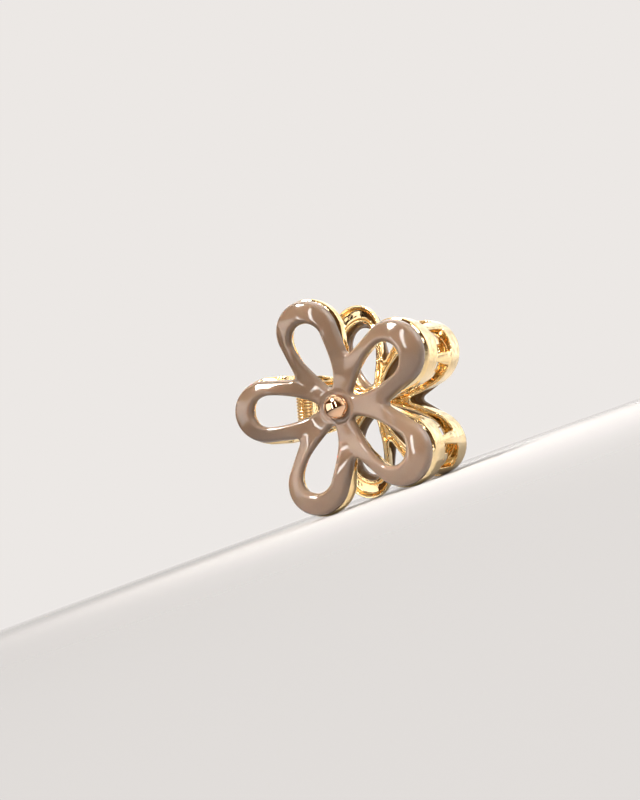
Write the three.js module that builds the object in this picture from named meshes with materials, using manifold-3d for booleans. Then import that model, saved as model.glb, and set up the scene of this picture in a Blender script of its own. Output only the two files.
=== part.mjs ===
// Flower claw clip: two five-petal halves on one hinge pin, closed by a torsion spring.
// Millimetres, +Z up. The clip stands on the rims of its two lowest petals, front face towards -Y.
//
// Each half is built in the clip's own frame: x runs from the handle petal to the two jaw petals,
// y runs along the hinge pin and z runs outwards from the plane midway between the halves.

import * as THREE from 'three';
import { TessellateModifier } from 'three/addons/modifiers/TessellateModifier.js';
import { mergeVertices } from 'three/addons/utils/BufferGeometryUtils.js';
import Module from 'manifold-3d';

const wasm = await Module();
wasm.setup();

// ---- Driving dimensions -------------------------------------------------------------------

// The flower
const petalCount = 5;
const petalCentre = 26.2; // hub to the centre of a petal's round tip
const plateTipRadius = 10.8; // round tip of a plate petal
const plateTaperDeg = 3.5; // each side of a plate petal closes towards the hub
const plateNotchFillet = 1.3;
const plateThickness = 3.0;
const plateEdgeRadius = 0.7; // chamfer that stands for the plate's rolled edge
const halfDepth = 16.2; // middle plane to the plate's outer face, at the hub
const handleFlareDeg = 6.3; // the handle petal leans outwards and the jaw petals close in
const cupRise = 4.1; // the petals' tips stand out from the hub by this much
const petalSwell = 3.3; // each petal swells round its window and slopes down to its edge
const swellCore = 4.6; // full swell this near to the petal's middle line
const swellStart = 9; // hub to where the swell begins
const swellEnd = 24; // hub to where the swell is full

// The teardrop window in each petal
const windowTipCentre = 23.7;
const windowTipRadius = 5.4;
const windowRootCentre = 7.9;
const windowRootRadius = 1.1;
const windowSideRadius = 34; // the window's sides bow out on this radius

// The cast frame behind the plate
const rimProud = 0.8; // frame rim beyond the plate's edge
const windowSetBack = 1.9; // frame edge behind the plate's window edge
const frameTaperDeg = 14; // each side of a frame petal closes towards the hub
const frameNotchFillet = 1.0;
const frameFloor = 1.3;
const frameWall = 1.15; // width of the raised edges along each band
const sideWallDepth = 2.7; // band depth on the handle and side petals
const jawWallDepth = 5.2; // band depth where the jaw petals begin
const jawTipDepth = 7.2; // band depth at the jaw petals' tips
const handleWallEnd = 3.9; // hub to where the band begins to deepen, along the flower
const jawWallStart = 13.1; // hub to where the jaw petals' depth begins
const jawWallEnd = 21.0; // hub to where the band deepens again
const jawTipStart = 30.1; // hub to where the tips' full depth begins
const edgeSplit = 0.198 * petalCentre; // longest edge of a piece before it is cupped
const edgeSplitRounds = 12;
const bossRadius = 5.6;
const bossDepth = 3.6;

// Claw teeth: angles round a jaw petal's tip, positive towards the notch between the jaws
const frontToothAngles = [15, 84];
const rearToothAngles = [-20, 49];
const toothHalfAngleDeg = 13;
const toothTipShare = 0.42; // tip width over root width
const toothThickness = 1.9;
const toothReach = 4.8; // past the middle plane
const toothCurl = 2.4; // tip bends in towards the hair by this much
const toothBedding = 1.6; // tooth root sunk in the rim
const toothInset = 0.15; // tooth inside the rim's outer face
const toothTaper = 1.5; // how late the tooth narrows
const toothThinning = 0.35; // share of its thickness that the tooth loses
const toothRoundEnd = 0.8;

// Hinge
const hingeOffset = 23.4; // hub to the pin's axis, towards the handle
const pinRadius = 1.1;
const pinClearance = 0.14; // radial, between the pin and the ears
const pinHeadRadius = 2.1;
const pinHeadThickness = 1.1;
const pinCapThickness = 1.7;
const pinCapSocket = 0.9;
const earThickness = 2.0;
const earRadius = 3.0;
const earGap = 0.5; // between an inner ear and an outer ear
const earRootBack = 3.6; // ear root towards the handle
const earRootFront = 4.6; // ear root towards the hub
const earBedding = 0.5; // ear root sunk in the frame's floor

// Torsion spring
const wireRadius = 0.5;
const coilRadius = 2.6; // to the wire's centre
const coilTurns = 11;
const coilHalfLength = 6.4; // to the centre of the end turns
const legRun = 4.6; // the hinge axis to a leg's end, towards the handle
const legSeatRadius = 1.6; // pad on the frame under a leg's end
const wireStepsPerTurn = 11;

// Ball rivet at each hub
const ballRadius = 4.2;
const ballHeight = 3.3;
const dishRadius = 6.0;
const dishDepth = 0.45;
const shankRadius = 1.4;
const socketDepth = 1.8;
const postHeadRadius = 2.9;
const postHeadThickness = 1.0;

// Fits
const plateBed = 0.45; // adhesive between the plate and its frame
const seatGap = 0.3; // between pieces that are assembled face to face
const boreGap = 0.35; // radial, round the rivet shank and the pin cap's socket

// How the clip stands
const standTurnDeg = 18; // turns the flower until two petals point equally down

// ---- Worked-out dimensions ------------------------------------------------------------------

const rad = THREE.MathUtils.degToRad;
const petalStep = 360 / petalCount;
const halfPetalStep = petalStep / 2;
const facetStep = 12; // rim facets; one of them lies flat on the ground
const overrun = 1; // how far a cutter runs past what it cuts
const frameTipRadius = plateTipRadius + rimProud;
const frameTop = halfDepth - plateThickness - plateBed;
const frameFloorBottom = frameTop - frameFloor;
const innerEarInside = coilHalfLength + wireRadius + seatGap;
const outerEarInside = innerEarInside + earThickness + earGap;
const outerEarOutside = outerEarInside + earThickness;
const dishFloor = halfDepth - dishDepth;
const flatOfRim = frameTipRadius * Math.cos(rad(facetStep / 2));
const hubHeight = petalCentre * Math.sin(rad(petalStep - standTurnDeg)) + flatOfRim;
const petalReach = petalCentre + plateTipRadius;

// 0 before start, 1 after end, and even between them.
function ramp(value, start, end) {
  return THREE.MathUtils.clamp((value - start) / (end - start), 0, 1);
}

// How far a half's flower stands out at a place, beyond its height at the hub.
function lift(x, y) {
  const radius = Math.hypot(x, y);
  const angle = (Math.atan2(y, x) * 180) / Math.PI;
  const fromPetal = angle - halfPetalStep - petalStep * Math.round((angle - halfPetalStep) / petalStep);
  const past = Math.max(radius * Math.cos(rad(fromPetal)) - petalCentre, 0);
  const fromMiddle = Math.hypot(past, radius * Math.sin(rad(fromPetal)));
  const across = 1 - ramp(fromMiddle, swellCore, frameTipRadius);
  const along = THREE.MathUtils.smoothstep(radius, swellStart, swellEnd);
  const swell = petalSwell * across * along;
  const cup = cupRise * (radius / petalReach) ** 2;
  return swell + cup - x * Math.tan(rad(handleFlareDeg));
}

// ---- Materials ------------------------------------------------------------------------------

const goldPlate = new THREE.MeshStandardMaterial({ color: 0xe2bd72, roughness: 0.18, metalness: 1 });
const brightGold = new THREE.MeshStandardMaterial({ color: 0xe6b184, roughness: 0.1, metalness: 1 });
const taupeResin = new THREE.MeshStandardMaterial({ color: 0xa8876c, roughness: 0.12, metalness: 0 });

// ---- Solids: from three.js geometry to manifold and back --------------------------------------

function solid(geometry) {
  const bare = geometry.index ? geometry.toNonIndexed() : geometry;
  bare.deleteAttribute('normal');
  bare.deleteAttribute('uv');
  const merged = mergeVertices(bare, 1e-4);
  const mesh = new wasm.Mesh({
    numProp: 3,
    vertProperties: new Float32Array(merged.attributes.position.array),
    triVerts: new Uint32Array(merged.index.array),
  });
  return new wasm.Manifold(mesh);
}

function geometryOf(manifold) {
  const source = manifold.getMesh();
  const geometry = new THREE.BufferGeometry();
  geometry.setAttribute('position', new THREE.BufferAttribute(source.vertProperties, 3));
  geometry.setIndex(new THREE.BufferAttribute(source.triVerts, 1));
  return geometry;
}

// A flat solid bent to the flower's flared, cupped and swollen form.
function cupped(manifold) {
  const splitter = new TessellateModifier(edgeSplit, edgeSplitRounds);
  const geometry = splitter.modify(geometryOf(manifold));
  const position = geometry.attributes.position;
  for (let i = 0; i < position.count; i += 1) {
    position.setZ(i, position.getZ(i) + lift(position.getX(i), position.getY(i)));
  }
  return solid(geometry);
}

function join(solids) {
  return solids.reduce((sum, next) => sum.add(next));
}

function named(name, manifold, material) {
  const geometry = geometryOf(manifold);
  geometry.computeVertexNormals();
  const mesh = new THREE.Mesh(geometry, material);
  mesh.name = name;
  return mesh;
}

function slab(outline, bottom, top) {
  const geometry = new THREE.ExtrudeGeometry(new THREE.Shape(outline), {
    depth: top - bottom,
    bevelEnabled: false,
  });
  return solid(geometry.translate(0, 0, bottom));
}

function disc(radius, bottom, top, segments = 40) {
  const geometry = new THREE.CylinderGeometry(radius, radius, top - bottom, segments);
  return solid(geometry.rotateX(Math.PI / 2).translate(0, 0, (top + bottom) / 2));
}

// A round bar along the hinge axis, from y = start to y = end.
function hingeBar(radius, start, end, segments = 24) {
  const geometry = new THREE.CylinderGeometry(radius, radius, end - start, segments);
  return solid(geometry.translate(-hingeOffset, (start + end) / 2, 0));
}

// ---- Outlines ---------------------------------------------------------------------------------

function polar(angleDeg, radius, centreX = 0, centreY = 0) {
  const x = centreX + radius * Math.cos(rad(angleDeg));
  const y = centreY + radius * Math.sin(rad(angleDeg));
  return new THREE.Vector2(x, y);
}

function turned(points, angleDeg) {
  const origin = new THREE.Vector2();
  return points.map((point) => point.clone().rotateAround(origin, rad(angleDeg)));
}

function arc(centreX, centreY, radius, startDeg, endDeg, segments) {
  const points = [];
  for (let i = 0; i <= segments; i += 1) {
    const angle = startDeg + ((endDeg - startDeg) * i) / segments;
    points.push(polar(angle, radius, centreX, centreY));
  }
  return points;
}

// Round tip of a petal that lies along +x: facets centred on its axis, ends where its sides begin.
function petalTip(radius, taperDeg) {
  const endAngle = 90 + taperDeg;
  const angles = [];
  for (let angle = facetStep / 2; angle < endAngle - 1; angle += facetStep) angles.push(angle);
  const right = angles.map((angle) => -angle).reverse();
  return [-endAngle, ...right, ...angles, endAngle].map((angle) => polar(angle, radius, petalCentre));
}

// Whole flower: round tips joined by straight sides, with a filleted notch between two petals.
function flowerOutline(tipRadius, taperDeg, filletRadius) {
  const sideAtHub = tipRadius / Math.cos(rad(taperDeg)) - Math.tan(rad(taperDeg)) * petalCentre;
  const halfNotch = halfPetalStep - taperDeg;
  const notchFactor =
    Math.sin(rad(halfPetalStep)) - Math.tan(rad(taperDeg)) * Math.cos(rad(halfPetalStep));
  const cornerRadius = sideAtHub / notchFactor;
  const filletCentre = polar(halfPetalStep, cornerRadius + filletRadius / Math.sin(rad(halfNotch)));
  const fillet = arc(
    filletCentre.x,
    filletCentre.y,
    filletRadius,
    270 + taperDeg,
    90 + petalStep - taperDeg,
    5,
  );
  const petal = [...petalTip(tipRadius, taperDeg), ...fillet];
  const outline = [];
  for (let i = 0; i < petalCount; i += 1) outline.push(...turned(petal, halfPetalStep + petalStep * i));
  return outline;
}

// Teardrop window of a petal along +x, grown outwards by an offset: a large and a small round end
// joined by two bowed sides that meet both ends smoothly.
function windowOutline(offset) {
  const tip = windowTipRadius + offset;
  const root = windowRootRadius + offset;
  const side = windowSideRadius + offset;
  const span = windowTipCentre - windowRootCentre;
  const sideX = ((side - root) ** 2 - (side - tip) ** 2 + span ** 2) / (2 * span);
  const sideY = Math.sqrt((side - root) ** 2 - sideX ** 2);
  const tipAngle = THREE.MathUtils.radToDeg(Math.atan2(sideY, span - sideX));
  const rootAngle = THREE.MathUtils.radToDeg(Math.atan2(sideY, -sideX));
  const sideCentreX = windowRootCentre + sideX;
  return [
    ...arc(windowTipCentre, 0, tip, -tipAngle, tipAngle, 14),
    ...arc(sideCentreX, -sideY, side, tipAngle, rootAngle, 5).slice(1, -1),
    ...arc(windowRootCentre, 0, root, rootAngle, 360 - rootAngle, 6),
    ...arc(sideCentreX, sideY, side, -rootAngle, -tipAngle, 5).slice(1, -1),
  ];
}

// The windows of all five petals as one cutter.
function windows(offset, bottom, top) {
  const cutters = [];
  for (let i = 0; i < petalCount; i += 1) {
    cutters.push(slab(turned(windowOutline(offset), halfPetalStep + petalStep * i), bottom, top));
  }
  return join(cutters);
}

// ---- Flower plate -----------------------------------------------------------------------------

function flowerPlate(name) {
  const inset = plateTipRadius - plateEdgeRadius;
  const fillet = plateNotchFillet + plateEdgeRadius;
  const shape = new THREE.Shape(flowerOutline(inset, plateTaperDeg, fillet));
  const geometry = new THREE.ExtrudeGeometry(shape, {
    depth: plateThickness - 2 * plateEdgeRadius,
    bevelThickness: plateEdgeRadius,
    bevelSize: plateEdgeRadius,
    bevelSegments: 1,
  });
  const bottom = halfDepth - plateThickness;
  const blank = solid(geometry.translate(0, 0, bottom + plateEdgeRadius));
  const plate = blank
    .subtract(windows(0, bottom - overrun, halfDepth + overrun))
    .subtract(disc(shankRadius + boreGap, bottom - overrun, halfDepth + overrun))
    .subtract(disc(dishRadius, dishFloor, halfDepth + overrun, 60));
  return named(name, cupped(plate), taupeResin);
}

// ---- Frame ------------------------------------------------------------------------------------

// The frame seen from the side: shallow behind the handle, deep at the jaws.
function sideProfile() {
  const far = 2 * petalReach;
  const points = [
    [-far, frameTop],
    [-far, frameTop - sideWallDepth],
    [handleWallEnd, frameTop - sideWallDepth],
    [jawWallStart, frameTop - jawWallDepth],
    [jawWallEnd, frameTop - jawWallDepth],
    [jawTipStart, frameTop - jawTipDepth],
    [far, frameTop - jawTipDepth],
    [far, frameTop],
  ].map(([x, z]) => new THREE.Vector2(x, z));
  const geometry = new THREE.ExtrudeGeometry(new THREE.Shape(points), {
    depth: 2 * far,
    bevelEnabled: false,
  });
  return solid(geometry.rotateX(Math.PI / 2).translate(0, far, 0));
}

// Raised edges: along the flower's rim and round each window. Near the hub they run together.
function frameWalls() {
  const bottom = frameTop - jawTipDepth;
  const rim = slab(flowerOutline(frameTipRadius, frameTaperDeg, frameNotchFillet), bottom, frameTop);
  const inside = slab(
    flowerOutline(frameTipRadius - frameWall, frameTaperDeg, frameNotchFillet + frameWall),
    bottom - overrun,
    frameTop + overrun,
  );
  const rimWall = rim.subtract(inside);
  const windowWall = windows(windowSetBack + frameWall, bottom, frameTop);
  return rimWall.add(windowWall).intersect(rim).intersect(sideProfile());
}

// A claw tooth: a bar bent round the petal's tip, drawn down to a narrow, inward-curling end.
function tooth(petalAngleDeg, toothAngleDeg) {
  const outer = flatOfRim - toothInset;
  const hub = polar(petalAngleDeg, petalCentre);
  const root = polar(petalAngleDeg + toothAngleDeg, outer, hub.x, hub.y);
  const top = frameTop - jawTipDepth + toothBedding + lift(root.x, root.y);
  const length = top + toothReach;
  const geometry = new THREE.BoxGeometry(1, 1, 1, 4, 1, 7);
  const position = geometry.attributes.position;
  for (let i = 0; i < position.count; i += 1) {
    const across = position.getX(i) * -2;
    const through = position.getY(i) + 0.5;
    const down = 0.5 - position.getZ(i);
    const narrowing = 1 - (1 - toothTipShare) * down ** toothTaper;
    const roundEnd = down === 1 ? toothRoundEnd * across * across : 0;
    const angle = petalAngleDeg + toothAngleDeg + across * toothHalfAngleDeg * narrowing;
    const thickness = toothThickness * (1 - toothThinning * down);
    const radius = outer - toothCurl * down * down - thickness * (1 - through);
    const place = polar(angle, radius, hub.x, hub.y);
    position.setXYZ(i, place.x, place.y, top - length * down + roundEnd);
  }
  return solid(geometry);
}

function teeth(angles) {
  const upper = angles.map((angle) => tooth(halfPetalStep, -angle));
  const lower = angles.map((angle) => tooth(-halfPetalStep, angle));
  return [...upper, ...lower];
}

// A pair of hinge ears, from the frame's handle band to the pin.
function ears(inside) {
  const rootTop = frameFloorBottom + earBedding;
  const back = -hingeOffset - earRootBack;
  const front = -hingeOffset + earRootFront;
  const shape = new THREE.Shape();
  shape.moveTo(back, rootTop + lift(back, inside));
  shape.lineTo(-hingeOffset - earRadius, 0);
  shape.absarc(-hingeOffset, 0, earRadius, Math.PI, 2 * Math.PI, false);
  shape.lineTo(front, rootTop + lift(front, inside));
  const geometry = new THREE.ExtrudeGeometry(shape, {
    depth: earThickness,
    bevelEnabled: false,
    curveSegments: 10,
  });
  const near = solid(geometry.clone().rotateX(Math.PI / 2).translate(0, inside + earThickness, 0));
  const far = solid(geometry.rotateX(Math.PI / 2).translate(0, -inside, 0));
  return [near, far];
}

function frame(name, earInside, toothAngles) {
  const outline = flowerOutline(frameTipRadius, frameTaperDeg, frameNotchFillet);
  const floor = slab(outline, frameFloorBottom, frameTop);
  const boss = disc(bossRadius, frameTop - bossDepth, frameTop);
  const legSeat = disc(legSeatRadius, frameTop - sideWallDepth, frameTop, 16);
  const seat = legSeat.translate([-hingeOffset - legRun, coilHalfLength, 0]);
  const casting = join([floor, frameWalls(), boss, seat])
    .subtract(windows(windowSetBack, frameTop - jawTipDepth - overrun, frameTop + overrun))
    .subtract(disc(shankRadius + boreGap, frameTop - bossDepth - overrun, frameTop + overrun));
  const bore = hingeBar(pinRadius + pinClearance, -outerEarOutside - overrun, outerEarOutside + overrun);
  const whole = join([cupped(casting), ...ears(earInside), ...teeth(toothAngles)]).subtract(bore);
  return named(name, whole, goldPlate);
}

// ---- Ball rivet --------------------------------------------------------------------------------

function lathe(profile, segments = 24) {
  const points = profile.map(([radius, height]) => new THREE.Vector2(radius, height));
  return solid(new THREE.LatheGeometry(points, segments).rotateX(Math.PI / 2));
}

function ballCap(name) {
  const base = dishFloor + seatGap;
  const top = halfDepth + ballHeight;
  const rise = top - base;
  const profile = [[0, base]];
  const steps = 6;
  for (let i = 0; i <= steps; i += 1) {
    const angle = (Math.PI / 2) * (i / steps);
    profile.push([i === steps ? 0 : ballRadius * Math.cos(angle), base + rise * Math.sin(angle)]);
  }
  const socket = disc(shankRadius + boreGap, base - overrun, base + socketDepth);
  return named(name, cupped(lathe(profile).subtract(socket)), brightGold);
}

function rivetPost(name) {
  const headTop = frameTop - bossDepth - seatGap;
  const head = disc(postHeadRadius, headTop - postHeadThickness, headTop, 24);
  const shankTop = dishFloor + seatGap + socketDepth - seatGap;
  const shank = disc(shankRadius, headTop - postHeadThickness / 2, shankTop, 24);
  return named(name, cupped(head.add(shank)), goldPlate);
}

// ---- Hinge pin and spring -----------------------------------------------------------------------

function hingePin() {
  const underHead = -outerEarOutside - seatGap;
  const tip = outerEarOutside + seatGap + pinCapSocket;
  const shank = hingeBar(pinRadius, underHead - pinHeadThickness / 2, tip);
  const head = hingeBar(pinHeadRadius, underHead - pinHeadThickness, underHead);
  return named('hinge_pin', shank.add(head), goldPlate);
}

function hingePinCap() {
  const start = outerEarOutside + seatGap;
  const cap = hingeBar(pinHeadRadius, start, start + pinCapThickness);
  const socket = hingeBar(pinRadius + boreGap, start - overrun, start + pinCapSocket + seatGap);
  return named('hinge_pin_cap', cap.subtract(socket), goldPlate);
}

// The spring's wire: a leg against the rear handle, the coil, and a leg against the front handle.
class SpringWire extends THREE.Curve {
  constructor() {
    super();
    const underSeat = frameTop - sideWallDepth - seatGap - wireRadius;
    const legTop = underSeat + lift(-hingeOffset - legRun, coilHalfLength);
    const reach = Math.hypot(legRun, legTop);
    this.legLength = Math.sqrt(reach ** 2 - coilRadius ** 2);
    this.endAngle = Math.atan2(legTop, -legRun) - Math.acos(coilRadius / reach);
    this.slope = Math.PI / 2 - this.endAngle;
    this.sweep = 2 * Math.PI * coilTurns + 2 * this.endAngle;
    this.coilLength = coilRadius * this.sweep;
    this.total = this.coilLength + 2 * this.legLength;
  }

  // The half of the wire from the middle of the coil to the end of the front leg.
  halfPoint(distance) {
    const along = Math.min(distance, this.coilLength / 2);
    const beyond = Math.max(distance - this.coilLength / 2, 0);
    const angle = this.endAngle + (along / this.coilLength - 0.5) * this.sweep;
    const x = coilRadius * Math.cos(angle) - beyond * Math.cos(this.slope);
    const z = coilRadius * Math.sin(angle) + beyond * Math.sin(this.slope);
    return new THREE.Vector3(x - hingeOffset, (2 * coilHalfLength * along) / this.coilLength, z);
  }

  getPoint(t, target = new THREE.Vector3()) {
    const distance = (t - 0.5) * this.total;
    const point = this.halfPoint(Math.abs(distance));
    if (distance < 0) point.set(point.x, -point.y, -point.z);
    return target.copy(point);
  }
}

function torsionSpring() {
  const section = new THREE.Shape(arc(0, 0, wireRadius, 0, 300, 5));
  const geometry = new THREE.ExtrudeGeometry(section, {
    extrudePath: new SpringWire(),
    steps: coilTurns * wireStepsPerTurn,
  });
  return named('torsion_spring', solid(geometry), goldPlate);
}

// ---- Assembly -----------------------------------------------------------------------------------

const frontHalf = new THREE.Group();
frontHalf.add(frame('front_frame', outerEarInside, frontToothAngles));
frontHalf.add(flowerPlate('front_flower_plate'));
frontHalf.add(ballCap('front_ball_cap'));
frontHalf.add(rivetPost('front_rivet_post'));
frontHalf.add(hingePin(), hingePinCap(), torsionSpring());

const rearHalf = new THREE.Group();
rearHalf.rotation.x = Math.PI;
rearHalf.add(frame('rear_frame', innerEarInside, rearToothAngles));
rearHalf.add(flowerPlate('rear_flower_plate'));
rearHalf.add(ballCap('rear_ball_cap'));
rearHalf.add(rivetPost('rear_rivet_post'));

const clip = new THREE.Group();
clip.rotation.x = Math.PI / 2;
clip.add(frontHalf, rearHalf);

const group = new THREE.Group();
group.rotation.y = rad(standTurnDeg);
group.position.z = hubHeight;
group.add(clip);

export default group;
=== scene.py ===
# %% [markdown]
# # A flower claw clip
# The real object is a hair clip made of two flower-shaped halves. Each half is a gold plated
# zinc casting with a glossy resin flower set on it and a ball rivet through the hub. A pin joins
# the halves, and a torsion spring round the pin keeps the jaw petals shut. The lesson starts from
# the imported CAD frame, so that each finished piece takes the place of the CAD node it stands for.

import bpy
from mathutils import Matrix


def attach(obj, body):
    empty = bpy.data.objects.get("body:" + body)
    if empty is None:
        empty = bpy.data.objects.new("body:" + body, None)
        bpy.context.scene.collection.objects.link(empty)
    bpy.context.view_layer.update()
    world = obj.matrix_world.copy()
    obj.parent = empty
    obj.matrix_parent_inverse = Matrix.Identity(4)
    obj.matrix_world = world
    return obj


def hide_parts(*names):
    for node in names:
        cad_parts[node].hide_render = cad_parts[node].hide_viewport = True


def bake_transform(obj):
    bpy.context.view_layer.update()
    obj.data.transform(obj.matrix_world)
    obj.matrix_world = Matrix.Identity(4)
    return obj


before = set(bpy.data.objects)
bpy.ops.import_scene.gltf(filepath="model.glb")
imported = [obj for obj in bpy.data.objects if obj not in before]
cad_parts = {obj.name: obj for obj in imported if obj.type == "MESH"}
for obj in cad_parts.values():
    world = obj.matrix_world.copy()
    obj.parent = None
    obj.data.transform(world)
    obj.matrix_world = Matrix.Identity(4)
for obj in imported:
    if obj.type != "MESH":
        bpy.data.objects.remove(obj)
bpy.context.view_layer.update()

import math

import bpy
import numpy as np
from mathutils import Matrix, Vector, geometry

# %% [markdown]
# ## Sizes
# All sizes are in millimetres, in the clip's own directions: x runs from the handle petal to the
# two jaw petals, y runs along the hinge pin, and z points outwards from the plane between the
# halves. They follow the CAD part, whose rims have flats: the round rim here stays inside them.

# %% Sizes
PETALS = 5
STEP = 360 / PETALS
HALF_STEP = STEP / 2
PETAL_CENTRE = 26.2
PLATE_TIP, PLATE_TAPER, PLATE_FILLET = 10.8, 3.5, 1.3
FRAME_TIP, FRAME_TAPER, FRAME_FILLET = 11.5, 14.0, 1.0
PETAL_REACH = PETAL_CENTRE + PLATE_TIP
WINDOW_TIP_CENTRE, WINDOW_TIP = 23.7, 5.4
WINDOW_ROOT_CENTRE, WINDOW_ROOT, WINDOW_SIDE = 7.9, 1.1, 34.0
HALF_DEPTH, PLATE_THICK, PLATE_BED, SEAT_GAP = 16.2, 3.0, 0.45, 0.3
FRAME_TOP = HALF_DEPTH - PLATE_THICK - PLATE_BED
HINGE_OFFSET = 23.4
STAND_TURN = math.radians(18)
RIM_CIRCLE, RIM_FACET = 11.6, 12
FLAT_OF_RIM = RIM_CIRCLE * math.cos(math.radians(RIM_FACET / 2))
HUB_HEIGHT = PETAL_CENTRE * math.sin(math.radians(STEP) - STAND_TURN) + FLAT_OF_RIM
FLARE_ANGLE, CUP_RISE = 6.3, 4.1
FLARE = math.tan(math.radians(FLARE_ANGLE))
PETAL_SWELL, SWELL_CORE, SWELL_START, SWELL_END = 3.3, 4.6, 9.0, 24.0
SWELL_SOFTNESS = 0.02


def soft_step(value, start, end):
    t = np.clip((value - start) / (end - start), 0, 1)
    return t * t * (3 - 2 * t)


def lift(x, y):
    """How far the flower stands out at a place, beyond its height at the hub."""
    radius = np.hypot(x, y)
    turn = np.degrees(np.arctan2(y, x)) - HALF_STEP
    off_petal = np.radians(turn - STEP * np.round(turn / STEP))
    past = np.maximum(radius * np.cos(off_petal) - PETAL_CENTRE, 0)
    off_middle = np.hypot(past, radius * np.sin(off_petal))
    slope = (off_middle - SWELL_CORE) / (FRAME_TIP - SWELL_CORE)
    fall = (slope + np.sqrt(slope**2 + SWELL_SOFTNESS)) / 2
    swell = PETAL_SWELL * np.maximum(1 - fall, 0) * soft_step(radius, SWELL_START, SWELL_END)
    return swell + CUP_RISE * radius**2 / PETAL_REACH**2 - FLARE * x


def stand(points, half="front"):
    """Millimetres in a half's own directions to metres in the frame, as an array."""
    p = np.array(points, float).reshape(-1, 3)
    if half == "rear":
        p = p * (1, -1, -1)
    c, s = math.cos(STAND_TURN), math.sin(STAND_TURN)
    x = c * p[:, 0] + s * p[:, 1]
    z = HUB_HEIGHT - s * p[:, 0] + c * p[:, 1]
    return np.stack([x, -p[:, 2], z], 1) / 1000


print(f"hub {HUB_HEIGHT:.2f} mm above the floor, handle tip lifted {lift(-PETAL_REACH, 0):.2f} mm")

# %% [markdown]
# ## Helpers for materials
# Colours are written as sRGB hex, the way a paint chart gives them, and turned to the linear
# values that Blender mixes with. One function adds a node with its settings and its links.

# %% Material helpers
def linear(hex_colour):
    """An sRGB hex colour as linear RGBA."""
    parts = [int(hex_colour[i : i + 2], 16) / 255 for i in (1, 3, 5)]
    return [v / 12.92 if v <= 0.04045 else ((v + 0.055) / 1.055) ** 2.4 for v in parts] + [1.0]


def add(tree, kind, links=None, **settings):
    """A new node: links maps an input to a value or to another node's output."""
    node = tree.nodes.new(kind)
    for name, value in settings.items():
        setattr(node, name, value)
    for name, value in (links or {}).items():
        if isinstance(value, bpy.types.NodeSocket):
            tree.links.new(value, node.inputs[name])
        else:
            node.inputs[name].default_value = value
    return node


def per_mm(size):
    """Texture scale on Object coordinates, in metres, for a feature of this many millimetres."""
    return 1000 / size


def new_material(name):
    material = bpy.data.materials.new(name)
    material.use_nodes = True
    tree = material.node_tree
    tree.nodes.clear()
    place = add(tree, "ShaderNodeTexCoord").outputs["Object"]
    return material, tree, place


def noise(tree, place, size, detail=2.0, **more):
    links = {"Vector": place, "Scale": per_mm(size), "Detail": detail, **more}
    return add(tree, "ShaderNodeTexNoise", links).outputs["Fac"]


def spread(tree, value, low, high):
    """A 0 to 1 value, mapped to the range from low to high."""
    ends = {"Value": value, "From Min": 0.3, "From Max": 0.7, "To Min": low, "To Max": high}
    return add(tree, "ShaderNodeMapRange", ends).outputs["Result"]


def blend_colours(tree, value, stops):
    ramp = add(tree, "ShaderNodeValToRGB", {"Fac": value})
    elements = ramp.color_ramp.elements
    while len(elements) < len(stops):
        elements.new(0.5)
    for element, (position, colour) in zip(elements, stops):
        element.position = position
        element.color = linear(colour)
    return ramp.outputs["Color"]


def finish_material(tree, shader, normal):
    tree.links.new(normal, shader.inputs["Normal"])
    add(tree, "ShaderNodeOutputMaterial", {"Surface": shader.outputs["BSDF"]})


# %% [markdown]
# ## Taupe resin
# The flowers are moulded from glossy resin, an epoxy or acrylic, tinted taupe. The tint is not
# quite even: it clouds slowly over a centimetre or so, as pigment settles while the resin cures.
# The skin is almost a mirror but not perfectly flat, which bends the edges of its reflections,
# and faint specks and soft patches of duller gloss mark it. Resin has an IOR of about 1.5.

# %% Taupe resin
def make_taupe_resin():
    material, tree, place = new_material("moulded_taupe_resin")
    cloud = noise(tree, place, 13, 3.0)
    tint = blend_colours(tree, cloud, [(0.3, "#705B4A"), (0.55, "#78614F"), (0.75, "#7E6856")])
    pigment = noise(tree, place, 0.35, 1.0)
    flecks = blend_colours(tree, pigment, [(0.3, "#F2F0EE"), (0.6, "#FFFFFF")])
    mixed = add(tree, "ShaderNodeMix", data_type="RGBA", blend_type="MULTIPLY")
    mixed.inputs["Factor"].default_value = 0.5
    tree.links.new(tint, mixed.inputs[6])
    tree.links.new(flecks, mixed.inputs[7])
    handling = spread(tree, noise(tree, place, 5, 4.0), 0.05, 0.13)
    swell = add(tree, "ShaderNodeBump", {
        "Height": noise(tree, place, 9, 1.0), "Strength": 0.5, "Distance": 0.00012})
    skin = add(tree, "ShaderNodeBump", {
        "Height": noise(tree, place, 0.9, 2.0), "Strength": 0.12, "Distance": 0.00003,
        "Normal": swell.outputs["Normal"]})
    resin = add(tree, "ShaderNodeBsdfPrincipled", {
        "Base Color": mixed.outputs[2], "Roughness": handling, "IOR": 1.5,
        "Coat Weight": 1.0, "Coat Roughness": 0.03, "Coat IOR": 1.5,
        "Subsurface Weight": 0.06, "Subsurface Scale": 0.001})
    finish_material(tree, resin, skin.outputs["Normal"])
    return material


taupe_resin = make_taupe_resin()
print("made", taupe_resin.name)
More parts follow.
